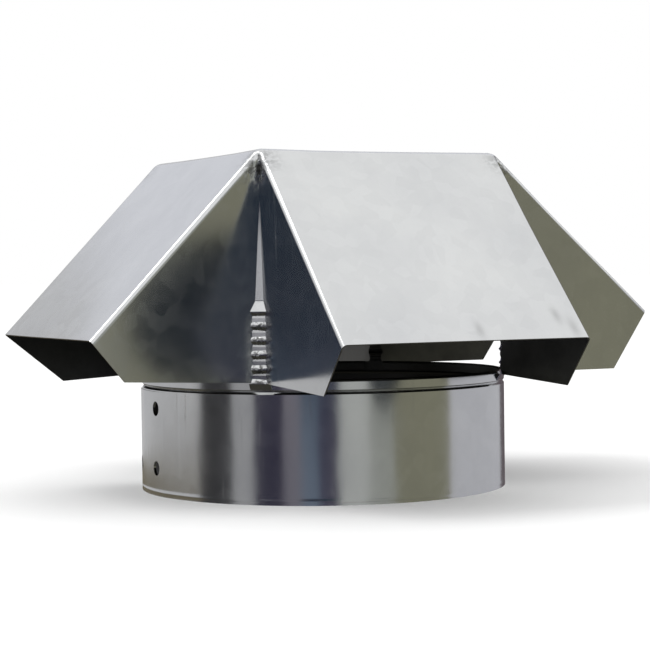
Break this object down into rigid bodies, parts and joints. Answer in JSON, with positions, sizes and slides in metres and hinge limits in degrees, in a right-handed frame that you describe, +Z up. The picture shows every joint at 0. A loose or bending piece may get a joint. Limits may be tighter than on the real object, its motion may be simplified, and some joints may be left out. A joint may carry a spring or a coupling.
{
  "type": "round vent cap",
  "caption": "Folded sheet-metal rain hood with pleated, crimped corners and sloping wings, held above a round collar that slips over a vent pipe.",
  "frame": {"origin": "centre of the collar's bottom edge, on the axis of the pipe", "axes": "+Z up along the pipe's axis, +X towards the wing that stands a little higher, -Y towards the wing at the front of the picture"},
  "size_m": [0.2551, 0.2473, 0.1395],
  "materials": {
    "hood_sheet": "bright galvanised sheet, soft reflections",
    "collar_sheet": "bright galvanised sheet, rolled"
  },
  "bodies": {
    "root": {"hood": "hood_sheet", "collar": "collar_sheet"}
  },
  "joints": []
}
